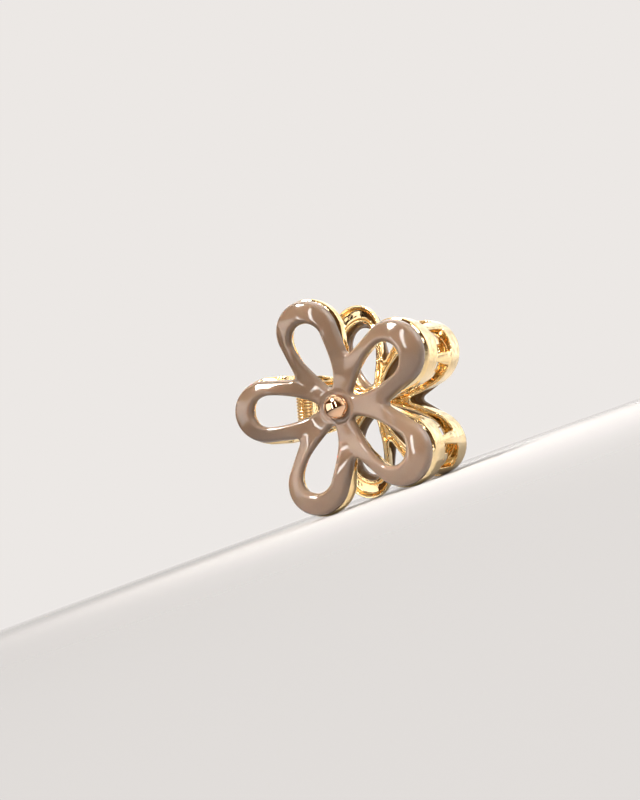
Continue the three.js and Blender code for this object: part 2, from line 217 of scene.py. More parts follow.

# %% [markdown]
# ## Gold plating
# The castings are zinc with a bright, pale gold plating. Under the plating the cast skin stays
# slightly wavy, so reflections wander, and the tone drifts a little from lemon to warm where the
# plating is thicker. The spring's wire is drawn steel with the same plating, a little less polished
# and with a finer grain, and the ball rivets are polished further and plated a warmer, rosier gold.

# %% Gold plating
def make_gold(name, tones, wave, wave_depth, rough, grain=0.25):
    material, tree, place = new_material(name)
    tone = blend_colours(tree, noise(tree, place, 8, 2.0), tones)
    polish = spread(tree, noise(tree, place, 2.2, 4.0), *rough)
    casting = add(tree, "ShaderNodeBump", {
        "Height": noise(tree, place, wave, 1.5), "Strength": 0.6, "Distance": wave_depth})
    pores = add(tree, "ShaderNodeBump", {
        "Height": noise(tree, place, grain, 1.0), "Strength": 0.1, "Distance": 0.00001,
        "Normal": casting.outputs["Normal"]})
    metal = add(tree, "ShaderNodeBsdfPrincipled", {
        "Base Color": tone, "Metallic": 1.0, "Roughness": polish})
    finish_material(tree, metal, pores.outputs["Normal"])
    return material


PALE_GOLD = [(0.3, "#F6D69C"), (0.5, "#F8DDAA"), (0.7, "#FAE4B8")]
ROSE_GOLD = [(0.3, "#EDBE98"), (0.7, "#F4CDAC")]
gold_casting = make_gold("gold_plated_zinc_casting", PALE_GOLD, 2.8, 0.0003, (0.06, 0.14))
gold_turned = make_gold("gold_plated_turned_steel", PALE_GOLD, 1.5, 0.00002, (0.08, 0.16))
gold_wire = make_gold("gold_plated_spring_wire", PALE_GOLD, 1.2, 0.00003, (0.12, 0.22), 0.15)
ball_gold = make_gold("polished_rose_gold_plating", ROSE_GOLD, 5.0, 0.00003, (0.03, 0.07))
print("made", gold_casting.name, gold_turned.name, gold_wire.name, ball_gold.name)

# %% [markdown]
# ## One petal's outline
# The flower follows a rule: five equal petals round the hub. So only one petal is drawn, from the
# notch on one side to the notch on the other, and it is repeated later. Each line is made of arcs
# and straight sides that can be set in by any distance, which gives the rings of a rolled edge.

# %% Outlines
def arc(cx, cy, radius, start, end, step):
    """Points on an arc, a step in millimetres apart at most, angles in degrees."""
    count = max(2, math.ceil(abs(math.radians(end - start)) * radius / step))
    angles = np.radians(np.linspace(start, end, count + 1))
    return np.stack([cx + radius * np.cos(angles), cy + radius * np.sin(angles)], 1)


def mirrored(half):
    """A closed or open line from its upper half, which starts on the petal's axis."""
    lower = half[::-1] * (1, -1)
    return np.vstack([lower[:-1] if abs(half[0, 1]) < 1e-9 else lower, half])


def petal_line(tip, taper, fillet, inset, step=0.55):
    """The petal's edge, set in by inset, from one notch round the tip to the other."""
    notch = math.radians(HALF_STEP)
    side = tip / math.cos(math.radians(taper)) - math.tan(math.radians(taper)) * PETAL_CENTRE
    corner = side / (math.sin(notch) - math.tan(math.radians(taper)) * math.cos(notch))
    away = corner + fillet / math.sin(math.radians(HALF_STEP - taper))
    round_tip = arc(PETAL_CENTRE, 0, tip - inset, 0, 90 + taper, step)
    notch_arc = arc(away * math.cos(notch), away * math.sin(notch), fillet + inset,
                    270 + taper, 180 + HALF_STEP, step * 0.6)
    count = max(2, math.ceil(np.linalg.norm(notch_arc[0] - round_tip[-1]) / step))
    t = np.linspace(0, 1, count + 1)[1:-1, None]
    side_line = round_tip[-1] * (1 - t) + notch_arc[0] * t
    return mirrored(np.vstack([round_tip, side_line, notch_arc]))


def window_line(grow, step=0.5):
    """The petal's window, grown by this much, as a closed line without its last point."""
    tip, root, side = WINDOW_TIP + grow, WINDOW_ROOT + grow, WINDOW_SIDE + grow
    span = WINDOW_TIP_CENTRE - WINDOW_ROOT_CENTRE
    along = ((side - root) ** 2 - (side - tip) ** 2 + span**2) / (2 * span)
    out = math.sqrt((side - root) ** 2 - along**2)
    tip_angle = math.degrees(math.atan2(out, span - along))
    root_angle = math.degrees(math.atan2(out, -along))
    upper = np.vstack([
        arc(WINDOW_TIP_CENTRE, 0, tip, 0, tip_angle, step),
        arc(WINDOW_ROOT_CENTRE + along, -out, side, tip_angle, root_angle, step)[1:-1],
        arc(WINDOW_ROOT_CENTRE, 0, root, root_angle, 180, step * 0.6)])
    return mirrored(upper)[:-1]


print("petal edge", len(petal_line(PLATE_TIP, PLATE_TAPER, PLATE_FILLET, 0)), "points")

# %% [markdown]
# ## A sheet between the lines
# A sheet is the flat area between the petal's edge, its window and the hole at the hub, cut into
# triangles whose corners lie on the rings. Each corner knows how far it is from the nearest edge.
# That one number later decides its height, as a mould maker rounds an edge by its distance.

# %% Sheets
def inside(points, line):
    """Which points lie inside a closed line."""
    x, y = points[:, 0][:, None], points[:, 1][:, None]
    a, b = line, np.roll(line, -1, 0)
    crosses = (a[:, 1] > y) != (b[:, 1] > y)
    with np.errstate(divide="ignore", invalid="ignore"):
        at = (b[:, 0] - a[:, 0]) * (y - a[:, 1]) / (b[:, 1] - a[:, 1]) + a[:, 0]
    return (np.sum(crosses & (x < at), 1) % 2) == 1


def distance_to(points, line, closed):
    """Distance from each point to a line."""
    a = line if closed else line[:-1]
    b = np.roll(line, -1, 0) if closed else line[1:]
    best = np.full(len(points), 1e9)
    for start, end in zip(a, b):
        run = end - start
        t = np.clip(((points - start) @ run) / (run @ run), 0, 1)
        best = np.minimum(best, np.linalg.norm(points - start - t[:, None] * run, axis=1))
    return best


def petal_sheet(edge_line, window, insets, hub_hole, spacing):
    """(points, distance from the edge, triangles) of one fifth of the flower."""
    edge_rings = [edge_line(e) for e in insets]
    window_rings = [window(e) for e in insets]
    web = np.array([math.cos(math.radians(HALF_STEP)), math.sin(math.radians(HALF_STEP))])
    hub_arc = arc(0, 0, hub_hole, -HALF_STEP, HALF_STEP, 0.4)
    last = np.linalg.norm(edge_rings[-1][-1])
    count = math.ceil((last - hub_hole) / spacing)
    radii = np.linspace(hub_hole, last, count + 1)[1:-1]
    xs = np.arange(0, PETAL_REACH + 2, spacing)
    ys = np.arange(0, PETAL_REACH, spacing * 0.866)
    grid = np.array([(x + (spacing / 2 if row % 2 else 0), y)
                     for row, y in enumerate(ys) for x in xs])
    outer = np.vstack([edge_rings[0], hub_arc[::-1]])
    keep = inside(grid, outer)
    gap = insets[-1] + spacing * 0.55
    keep &= distance_to(grid, edge_rings[0], False) > gap
    keep &= (distance_to(grid, window_rings[0], True) > gap) & ~inside(grid, window_rings[0])
    keep &= np.linalg.norm(grid, axis=1) > hub_hole + spacing * 0.5
    keep &= (web[1] * grid[:, 0] - web[0] * grid[:, 1]) > spacing * 0.5
    upper = grid[keep & (grid[:, 1] >= 0)]
    fill = np.vstack([upper, upper[upper[:, 1] > 1e-6] * (1, -1)])
    points, depth, chains = [], [], []

    def chain(line, value, closed=False):
        start = len(points)
        points.extend(line)
        depth.extend([value] * len(line))
        order = list(range(start, start + len(line)))
        chains.append(order + ([start] if closed else []))
        return order

    for e, ring in zip(insets, edge_rings):
        chain(ring, e)
    for e, ring in zip(insets, window_rings):
        chain(ring, e, True)
    hub = chain(hub_arc, None)
    for side in (-1, 1):
        middle = [web[0] * radii, side * web[1] * radii]
        order = chain(np.stack(middle, 1), None)
        ends = [c[0] if side < 0 else c[-1] for c in chains[: len(insets)]]
        chains[-1] = [hub[0] if side < 0 else hub[-1]] + order + ends[::-1]
    chain(fill, None)
    chains.pop()
    links = [(a, b) for c in chains for a, b in zip(c, c[1:])]
    flat = np.array(points)
    out = geometry.delaunay_2d_cdt([Vector(p) for p in flat], links, [], 0, 1e-6)
    spots = np.array([tuple(v) for v in out[0]])
    known = [depth[o[0]] if o and depth[o[0]] is not None else None for o in out[3]]
    measured = np.minimum(distance_to(spots, edge_rings[0], False),
                          distance_to(spots, window_rings[0], True))
    depth = np.array([m if k is None else k for k, m in zip(known, measured)])
    faces = np.array([f for f in out[2]])
    middles = spots[faces].mean(1)
    good = inside(middles, outer) & ~inside(middles, window_rings[0])
    return spots, depth, faces[good]


def sheet_solid(sheet, top_of, bottom_of, closed_edge):
    """A solid from a sheet: a top and a bottom surface, which meet where closed_edge is true."""
    spots, depth, faces = sheet
    count = len(spots)
    at_edge = depth < 1e-6
    turn = np.cross(spots[faces[:, 1]] - spots[faces[:, 0]], spots[faces[:, 2]] - spots[faces[:, 0]])
    faces = np.where((turn > 0)[:, None], faces, faces[:, ::-1])
    low = np.arange(count) + count
    if closed_edge:
        low[at_edge] = np.arange(count)[at_edge]
    tops = np.column_stack([spots, top_of(spots, depth)])
    bottoms = np.column_stack([spots, bottom_of(spots, depth)])
    solid = [tuple(f) for f in faces] + [tuple(low[f][::-1]) for f in faces]
    pairs = {}
    for f in faces:
        for a, b in zip(f, np.roll(f, -1)):
            pairs[(a, b)] = True
    angle = np.degrees(np.abs(np.arctan2(spots[:, 1], spots[:, 0])))
    on_web = np.abs(angle - HALF_STEP) < 1e-3
    for a, b in pairs:
        if (b, a) in pairs or (on_web[a] and on_web[b]):
            continue
        if low[a] == a and low[b] == b:
            continue
        solid.append((b, a, low[a], low[b]))
    return np.vstack([tops, bottoms]), solid


def mesh_object(name, points, faces, attributes=None):
    """A linked object whose mesh has these points, in metres."""
    mesh = bpy.data.meshes.new(name)
    mesh.from_pydata([tuple(p) for p in points], [], [tuple(int(i) for i in f) for f in faces])
    for label, values in (attributes or {}).items():
        mesh.attributes.new(label, "FLOAT", "POINT").data.foreach_set("value", values)
    obj = bpy.data.objects.new(name, mesh)
    bpy.context.scene.collection.objects.link(obj)
    return obj


# %% [markdown]
# ## Repeating a petal with Geometry Nodes
# Five copies of the petal are turned round the hub and welded where they meet. The tree is the
# same for the resin plate and for the casting, so a change of petal changes every copy.

# %% Petal ring tree
def tree_with(name, inputs):
    tree = bpy.data.node_groups.new(name, "GeometryNodeTree")
    tree.interface.new_socket("Geometry", in_out="INPUT", socket_type="NodeSocketGeometry")
    for label, kind, value in inputs:
        socket = tree.interface.new_socket(label, in_out="INPUT", socket_type=kind)
        if value is not None:
            socket.default_value = value
    tree.interface.new_socket("Geometry", in_out="OUTPUT", socket_type="NodeSocketGeometry")
    return tree, add(tree, "NodeGroupInput")


def petal_ring_tree():
    tree, given = tree_with("petal_ring", [
        ("Petals", "NodeSocketInt", PETALS),
        ("Weld distance", "NodeSocketFloat", 2e-6),
        ("Finish", "NodeSocketMaterial", None)])
    row = add(tree, "GeometryNodePoints", {"Count": given.outputs["Petals"]})
    number = add(tree, "GeometryNodeInputIndex").outputs["Index"]
    share = add(tree, "ShaderNodeMath", {0: 2 * math.pi, 1: given.outputs["Petals"]},
                operation="DIVIDE")
    angle = add(tree, "ShaderNodeMath", {0: number, 1: share.outputs[0]}, operation="MULTIPLY")
    half = add(tree, "ShaderNodeMath", {0: share.outputs[0], 1: 0.5}, operation="MULTIPLY")
    turned = add(tree, "ShaderNodeMath", {0: angle.outputs[0], 1: half.outputs[0]}, operation="ADD")
    rotation = add(tree, "ShaderNodeCombineXYZ", {"Z": turned.outputs[0]})
    placed = add(tree, "GeometryNodeInstanceOnPoints", {
        "Points": row.outputs[0], "Instance": given.outputs["Geometry"],
        "Rotation": rotation.outputs[0]})
    real = add(tree, "GeometryNodeRealizeInstances", {"Geometry": placed.outputs[0]})
    welded = add(tree, "GeometryNodeMergeByDistance", {
        "Geometry": real.outputs[0], "Distance": given.outputs["Weld distance"]})
    finished = add(tree, "GeometryNodeSetMaterial", {
        "Geometry": welded.outputs[0], "Material": given.outputs["Finish"]})
    add(tree, "NodeGroupOutput", {"Geometry": finished.outputs[0]})
    return tree


def made_by(tree, obj, **values):
    """The plain mesh object that a tree makes from obj, with the tree's inputs set by name."""
    modifier = obj.modifiers.new(tree.name, "NODES")
    modifier.node_group = tree
    for item in tree.interface.items_tree:
        if item.in_out == "INPUT" and item.name in values:
            modifier[item.identifier] = values[item.name]
    return baked(obj)


def baked(obj):
    """Replaces obj by its evaluated mesh, without modifiers."""
    bpy.context.view_layer.update()
    shown = obj.evaluated_get(bpy.context.evaluated_depsgraph_get())
    mesh = bpy.data.meshes.new_from_object(shown)
    obj.modifiers.clear()
    obj.data = mesh
    mesh.name = obj.name
    return obj


def corners(obj):
    """An object's points in millimetres."""
    flat = np.zeros(len(obj.data.vertices) * 3)
    obj.data.vertices.foreach_get("co", flat)
    return flat.reshape(-1, 3) * 1000


def move_corners(obj, points):
    obj.data.vertices.foreach_set("co", np.asarray(points, float).ravel())
    obj.data.update()


def smooth(obj, material):
    obj.data.materials.clear()
    obj.data.materials.append(material)
    obj.data.polygons.foreach_set("use_smooth", [True] * len(obj.data.polygons))
    obj.data.polygons.foreach_set("material_index", [0] * len(obj.data.polygons))
    obj.data.update()
    return obj


petal_ring = petal_ring_tree()
print("tree", petal_ring.name, "with", len(petal_ring.nodes), "nodes")

# %% [markdown]
# ## The resin flower
# The plate is about 3 mm thick. Its front edge is rolled over a radius of more than a millimetre,
# its back edge is barely broken, and each band swells a little in the middle, which is what makes
# the reflections run along it. A shallow round dish at the hub takes the ball.

# %% Flower plates
ROLL, BACK_ROLL, CROWN, CROWN_RUN = 1.5, 0.8, 0.28, 1.6
ROLL_RING, PLATE_SPACING = 0.45, 0.75
DISH_RADIUS, DISH_DEPTH, SHANK_HOLE = 6.0, 0.45, 1.75
DISH_LIP_START, DISH_LIP_END = DISH_RADIUS - 0.9, DISH_RADIUS + 0.2
PLATE_BACK = HALF_DEPTH - PLATE_THICK


def quarter_round(depth, radius):
    """0 at an edge, rising on a quarter circle to 1 at this radius from it."""
    return np.sqrt(np.clip(1 - (1 - np.clip(depth, 0, radius) / radius) ** 2, 0, 1))


def plate_top(spots, depth):
    rise = PLATE_THICK - BACK_ROLL - CROWN
    height = PLATE_BACK + BACK_ROLL + rise * quarter_round(depth, ROLL)
    height = height + CROWN * (1 - np.exp(-depth / CROWN_RUN))
    radius = np.linalg.norm(spots, axis=1)
    return height - DISH_DEPTH * (1 - soft_step(radius, DISH_LIP_START, DISH_LIP_END))


def plate_bottom(spots, depth):
    return PLATE_BACK + BACK_ROLL * (1 - quarter_round(depth, BACK_ROLL))


def plate_sector():
    turns = np.radians(np.linspace(0, 90, 9))
    insets = [*(ROLL * (1 - np.cos(turns))), ROLL + ROLL_RING]

    def edge(e):
        return petal_line(PLATE_TIP, PLATE_TAPER, PLATE_FILLET, e)

    return petal_sheet(edge, window_line, insets, SHANK_HOLE, PLATE_SPACING)


def flower_plate(half):
    points, faces = sheet_solid(plate_sector(), plate_top, plate_bottom, True)
    obj = mesh_object(f"{half}_resin_flower", points / 1000, faces)
    made_by(petal_ring, obj, Petals=PETALS, Finish=taupe_resin)
    flat = corners(obj)
    flat[:, 2] += lift(flat[:, 0], flat[:, 1])
    move_corners(obj, stand(flat, half))
    smooth(obj, taupe_resin)
    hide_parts(f"{half}_flower_plate")
    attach(obj, f"{half}_half")
    return obj


for half in ("front", "rear"):
    plate = flower_plate(half)
    print(plate.name, len(plate.data.polygons), "faces")

# %% [markdown]
# ## Turned shapes
# A ball rivet, its post, the hinge pin and the pin's cap are all round about an axis, as parts
# from a lathe are. Each is drawn as half a section, and the section is carried round the axis.

# %% Turned shapes
ROUND_SIDES, PIN_SIDES = 96, 64


def turned(section, sides=ROUND_SIDES):
    """Points and faces of a section of (radius, height) carried round the z axis."""
    points, faces, rings = [], [], []
    for radius, height in section:
        if radius < 1e-6:
            rings.append([len(points)])
            points.append((0, 0, height))
            continue
        rings.append(list(range(len(points), len(points) + sides)))
        for i in range(sides):
            angle = 2 * math.pi * i / sides
            points.append((radius * math.cos(angle), radius * math.sin(angle), height))
    for a, b in zip(rings, rings[1:]):
        for i in range(sides):
            j = (i + 1) % sides
            if len(a) == 1:
                faces.append((a[0], b[i], b[j]))
            elif len(b) == 1:
                faces.append((a[i], b[0], a[j]))
            else:
                faces.append((a[i], b[i], b[j], a[j]))
    return np.array(points, float), faces


def rounded(section, radius, cuts=4):
    """A section with each inner corner rounded, so that it catches a thin line of light."""
    section = [np.array(p, float) for p in section]
    out = [section[0]]
    for before, corner, after in zip(section, section[1:], section[2:]):
        near, far = before - corner, after - corner
        take = min(radius, 0.45 * np.linalg.norm(near), 0.45 * np.linalg.norm(far))
        start = corner + near / np.linalg.norm(near) * take
        end = corner + far / np.linalg.norm(far) * take
        for i in range(cuts + 1):
            t = i / cuts
            out.append((1 - t) ** 2 * start + 2 * t * (1 - t) * corner + t * t * end)
    return [tuple(p) for p in out] + [tuple(section[-1])]


# %% [markdown]
# ## Ball rivets
# The ball is a dome with a narrow foot. The foot leaves a thin dark ring in the dish, as a snap
# rivet does. The post passes through the plate and the casting and is upset behind them.

# %% Ball rivets
BALL_RADIUS, BALL_HEIGHT, SHANK_RADIUS = 4.2, 3.3, 1.4
SOCKET_DEPTH, POST_HEAD, POST_HEAD_THICK, BOSS_DEPTH = 1.8, 2.9, 1.0, 3.6
FOOT_RISE, FOOT_SET_IN, SOCKET_RIM, BALL_UNDERCUT, DOME_POINTS = 0.25, 0.7, 0.75, 12, 24
DISH_FLOOR = HALF_DEPTH - DISH_DEPTH
BALL_BASE = DISH_FLOOR + SEAT_GAP


def ball_section():
    crown = HALF_DEPTH + BALL_HEIGHT - BALL_BASE - FOOT_RISE
    dome = [(BALL_RADIUS * math.cos(a), BALL_BASE + FOOT_RISE + crown * math.sin(a))
            for a in np.radians(np.linspace(-BALL_UNDERCUT, 90, DOME_POINTS))]
    dome[-1] = (0, dome[-1][1])
    socket = [(0, BALL_BASE + SOCKET_DEPTH), (SHANK_HOLE, BALL_BASE + SOCKET_DEPTH),
              (SHANK_HOLE, BALL_BASE), (BALL_RADIUS - SOCKET_RIM, BALL_BASE)]
    foot = (BALL_RADIUS - FOOT_SET_IN, max(BALL_BASE + 0.02, dome[0][1] - 0.05))
    return [*rounded(socket, 0.08, 2), foot, *[p for p in dome if p[1] > foot[1]]]


def post_section():
    top = FRAME_TOP - BOSS_DEPTH - SEAT_GAP
    back = top - POST_HEAD_THICK
    end = BALL_BASE + SOCKET_DEPTH - SEAT_GAP
    head = [(0, back), (POST_HEAD * 0.55, back + 0.1), (POST_HEAD, back + 0.55), (POST_HEAD, top),
            (SHANK_RADIUS, top), (SHANK_RADIUS, end), (0, end)]
    return rounded(head, 0.3, 5)


def rivet_piece(half, kind, section, material, node):
    points, faces = turned(section)
    points[:, 2] += lift(points[:, 0], points[:, 1])
    obj = mesh_object(f"{half}_{kind}", stand(points, half), faces)
    smooth(obj, material)
    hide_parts(node)
    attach(obj, f"{half}_half")
    return obj


for half in ("front", "rear"):
    rivet_piece(half, "ball", ball_section(), ball_gold, f"{half}_ball_cap")
    rivet_piece(half, "post", post_section(), gold_turned, f"{half}_rivet_post")
print("ball", 2 * BALL_RADIUS, "mm across")

# %% [markdown]
# ## The gold castings
# Behind each flower is a casting with raised edges: a wall along the rim and a wall round each
# window, with a shallow channel between them. The walls are shallow
# behind the handle and deepen towards the jaw tips. The sheet helper is used again: each corner's
# distance from the edge says whether it lies on a wall or in a channel. The ears, the teeth and
# the boss are separate closed shapes pushed into it, and a voxel remesh then casts them as one.

# %% Castings: the flower frame
FRAME_FLOOR, FRAME_WALL, WINDOW_SET_BACK, BOSS_RADIUS = 1.3, 1.15, 1.9, 5.6
WALL_RING, WALL_CREST, WALL_FOOT, FRAME_SPACING = 0.5, 0.15, 0.45, 0.55
WALL_PLACES = [-80, 3.9, 13.1, 21.0, 30.1, 80]
WALL_DEPTHS = [2.7, 2.7, 5.2, 5.2, 7.2, 7.2]
FLOOR_BOTTOM = FRAME_TOP - FRAME_FLOOR


def wall_share(depth):
    """1 on a raised edge, 0 in a channel."""
    return 1 - soft_step(depth, FRAME_WALL - WALL_CREST, FRAME_WALL + WALL_FOOT)


def frame_sector():
    insets = [0, WALL_RING, FRAME_WALL - WALL_CREST, FRAME_WALL + WALL_CREST, FRAME_WALL + WALL_FOOT]

    def edge(e):
        return petal_line(FRAME_TIP, FRAME_TAPER, FRAME_FILLET, e, 0.6)

    def window(e):
        return window_line(WINDOW_SET_BACK + e, 0.6)

    return petal_sheet(edge, window, insets, SHANK_HOLE, FRAME_SPACING)


def frame_shell(half):
    sheet = frame_sector()
    points, faces = sheet_solid(sheet, lambda s, d: np.full(len(s), FRAME_TOP),
                                lambda s, d: np.full(len(s), FLOOR_BOTTOM), False)
    share = np.concatenate([np.full(len(sheet[0]), -1.0), wall_share(sheet[1])])
    obj = mesh_object(f"{half}_gold_casting", points / 1000, faces, {"wall": share})
    made_by(petal_ring, obj, Petals=PETALS, Finish=gold_casting)
    flat = corners(obj)
    wall = np.zeros(len(flat))
    obj.data.attributes["wall"].data.foreach_get("value", wall)
    depth = np.interp(flat[:, 0], WALL_PLACES, WALL_DEPTHS)
    low = FRAME_TOP - FRAME_FLOOR - (depth - FRAME_FLOOR) * np.clip(wall, 0, 1)
    flat[:, 2] = np.where(wall < -0.5, FRAME_TOP, low) + lift(flat[:, 0], flat[:, 1])
    return obj, flat


# %% [markdown]
# ## Teeth and ears
# Two teeth hang from each jaw petal's rim and curl in towards the hair. The two halves have their
# teeth at different places, so that they pass between each other. The ears reach from the handle
# band to the hinge pin: the front half's pair straddles the rear half's pair.

# %% Castings: teeth and ears
TOOTH_ANGLES = {"front": (15, 84), "rear": (-20, 49)}
TOOTH_SPREAD, TOOTH_TIP_SHARE, TOOTH_THICK = 13, 0.42, 1.9
TOOTH_REACH, TOOTH_CURL, TOOTH_BEDDING, TOOTH_INSET, JAW_TIP_DEPTH = 4.8, 2.4, 1.6, 0.15, 7.2
TOOTH_TAPER, TOOTH_THINNING, TOOTH_BOW, TOOTH_HOLLOW = 1.5, 0.35, 0.18, 0.3
TOOTH_ROUND_FROM, TOOTH_ROUND_RUN, TOOTH_ROUND_SHARE, TOOTH_LEAST = 0.85, 0.155, 0.8, 0.12
EAR_THICK, EAR_RADIUS, EAR_GAP = 2.0, 3.0, 0.5
EAR_BACK, EAR_FRONT, EAR_BEDDING = 3.6, 4.6, 0.5
PIN_RADIUS, PIN_CLEARANCE = 1.1, 0.14
WIRE_RADIUS, COIL_HALF = 0.5, 6.4
INNER_EAR = COIL_HALF + WIRE_RADIUS + SEAT_GAP
OUTER_EAR = INNER_EAR + EAR_THICK + EAR_GAP
EAR_START = {"front": OUTER_EAR, "rear": INNER_EAR}


def tooth(petal_angle, tooth_angle, columns=8, rows=16):
    """A bar bent round the petal's tip and drawn down to a narrow end, as points and faces."""
    def polar(angle, radius, cx=0.0, cy=0.0):
        turn = math.radians(angle)
        return cx + radius * math.cos(turn), cy + radius * math.sin(turn)

    cx, cy = polar(petal_angle, PETAL_CENTRE)
    outer = FLAT_OF_RIM - TOOTH_INSET
    root = polar(petal_angle + tooth_angle, outer, cx, cy)
    top = FRAME_TOP - JAW_TIP_DEPTH + TOOTH_BEDDING + lift(*root)
    length = top + TOOTH_REACH
    points, faces = [], []
    section = [(a, 1.0) for a in np.linspace(-1, 1, columns + 1)]
    section += [(a, 0.0) for a in np.linspace(1, -1, columns + 1)]
    for row in range(rows + 1):
        down = row / rows
        narrow = 1 - (1 - TOOTH_TIP_SHARE) * down**TOOTH_TAPER
        if down > TOOTH_ROUND_FROM:
            end = (down - TOOTH_ROUND_FROM) / TOOTH_ROUND_RUN
            narrow *= math.sqrt(max(TOOTH_LEAST, 1 - end**2 * TOOTH_ROUND_SHARE))
        thick = TOOTH_THICK * (1 - TOOTH_THINNING * down)
        for across, through in section:
            bow = TOOTH_BOW * (1 - across * across) * (1 if through else -TOOTH_HOLLOW)
            angle = petal_angle + tooth_angle + across * TOOTH_SPREAD * narrow
            radius = outer - TOOTH_BOW - TOOTH_CURL * down * down - thick * (1 - through) + bow
            x, y = polar(angle, radius, cx, cy)
            points.append((x, y, top - length * down))
    ring = len(section)
    for row in range(rows):
        for i in range(ring):
            j = (i + 1) % ring
            a, b = row * ring, (row + 1) * ring
            faces.append((a + i, a + j, b + j, b + i))
    faces.append(tuple(range(ring))[::-1])
    faces.append(tuple(range(rows * ring, (rows + 1) * ring)))
    return points, faces


def ear(start):
    """An ear with its pin bore, as points and faces, from y = start to start + its thickness."""
    root = FLOOR_BOTTOM + EAR_BEDDING
    back, front = -HINGE_OFFSET - EAR_BACK, -HINGE_OFFSET + EAR_FRONT
    y_of = abs(start + EAR_THICK / 2)
    round_end = arc(-HINGE_OFFSET, 0, EAR_RADIUS, 180, 360, 0.3)
    feet = [(front, root + lift(front, y_of)), (back, root + lift(back, y_of))]
    outline = np.vstack([round_end, feet])
    bore = arc(-HINGE_OFFSET, 0, PIN_RADIUS + PIN_CLEARANCE, 0, 360, 0.25)[:-1]
    flat = np.vstack([outline, bore])
    n, m = len(outline), len(bore)
    links = [(i, (i + 1) % n) for i in range(n)] + [(n + i, n + (i + 1) % m) for i in range(m)]
    out = geometry.delaunay_2d_cdt([Vector(p) for p in flat], links, [], 0, 1e-6)
    spots = np.array([tuple(v) for v in out[0]])
    faces = np.array(out[2])
    middles = spots[faces].mean(1)
    faces = faces[inside(middles, outline) & ~inside(middles, bore)]
    count = len(spots)
    points = [(x, y, z) for y in (start, start + EAR_THICK) for x, z in spots]
    solid = [tuple(f) for f in faces] + [tuple(f[::-1] + count) for f in faces]
    ring = {(a, b) for f in faces for a, b in zip(f, np.roll(f, -1))}
    solid += [(b, a, a + count, b + count) for a, b in ring if (b, a) not in ring]
    return points, solid


print("tooth", len(tooth(HALF_STEP, 0)[0]), "points; ears start at", INNER_EAR, "and", OUTER_EAR, "mm")

# %% [markdown]
# ## Casting them as one
# Joined shapes only overlap. The voxel remesh skins them at 0.3 mm, which welds every joint, and
# a few passes of smoothing leave the small fillets that molten metal leaves in every corner.

# %% Castings: one body
VOXEL, BOSS_BEDDING = 0.00029, 0.2


def outward(points, faces):
    """Faces of one closed shape turned to point outwards."""
    p = np.array(points, float)
    volume = sum(np.dot(p[f[0]], np.cross(p[f[i]], p[f[i + 1]]))
                 for f in faces for i in range(1, len(f) - 1))
    return faces if volume > 0 else [f[::-1] for f in faces]


def casting(half):
    obj, flat = frame_shell(half)
    shells = [(flat, [tuple(p.vertices) for p in obj.data.polygons])]
    for side in (1, -1):
        for angle in TOOTH_ANGLES[half]:
            shells.append(tooth(side * HALF_STEP, -side * angle))
    for start in (EAR_START[half], -EAR_START[half] - EAR_THICK):
        shells.append(ear(start))
    boss_low = FRAME_TOP - BOSS_DEPTH
    boss = [(SHANK_HOLE, boss_low), (BOSS_RADIUS, boss_low), (BOSS_RADIUS, FRAME_TOP - BOSS_BEDDING),
            (SHANK_HOLE, FRAME_TOP - BOSS_BEDDING)]
    points, faces = turned(boss)
    ring = len(points) - ROUND_SIDES
    for i in range(ROUND_SIDES):
        j = (i + 1) % ROUND_SIDES
        faces.append((i, j, ring + j, ring + i))
    points[:, 2] += lift(points[:, 0], points[:, 1])
    shells.append((points, faces))
    all_points, all_faces = [], []
    for points, faces in shells:
        start = len(all_points)
        all_points.extend([tuple(p) for p in points])
        all_faces.extend([tuple(int(i) + start for i in f) for f in outward(points, faces)])
    mesh = bpy.data.meshes.new(obj.name)
    mesh.from_pydata([tuple(np.array(p) / 1000) for p in all_points], [], all_faces)
    obj.data = mesh
    remesh = obj.modifiers.new("cast", "REMESH")
    remesh.mode, remesh.voxel_size, remesh.adaptivity = "VOXEL", VOXEL, 0.0
    fettle = obj.modifiers.new("fettle", "SMOOTH")
    fettle.factor, fettle.iterations = 0.5, 5
    baked(obj)
    move_corners(obj, stand(corners(obj), half))
    smooth(obj, gold_casting)
    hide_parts(f"{half}_frame")
    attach(obj, f"{half}_half")
    return obj


for half in ("front", "rear"):
    cast = casting(half)
    print(cast.name, len(cast.data.polygons), "faces")

# %% [markdown]
# ## The hinge pin and its cap
# The pin is turned steel with a domed head. Its other end is riveted over a cap after the spring
# and all four ears are on it.

# %% Hinge pin
PIN_HEAD, PIN_HEAD_THICK, PIN_CAP_THICK, PIN_SOCKET = 2.1, 1.1, 1.7, 0.9
PIN_ROUNDING, CAP_CLEARANCE = 0.28, 0.35
EAR_END = OUTER_EAR + EAR_THICK


def along_hinge(points):
    """Turns a shape made round the z axis so that it lies along the hinge."""
    return np.stack([points[:, 1] - HINGE_OFFSET, points[:, 2], points[:, 0]], 1)


def hinge_piece(name, section, node):
    points, faces = turned(rounded(section, PIN_ROUNDING), PIN_SIDES)
    obj = mesh_object(name, stand(along_hinge(points)), faces)
    smooth(obj, gold_turned)
    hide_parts(node)
    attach(obj, "front_half")
    return obj


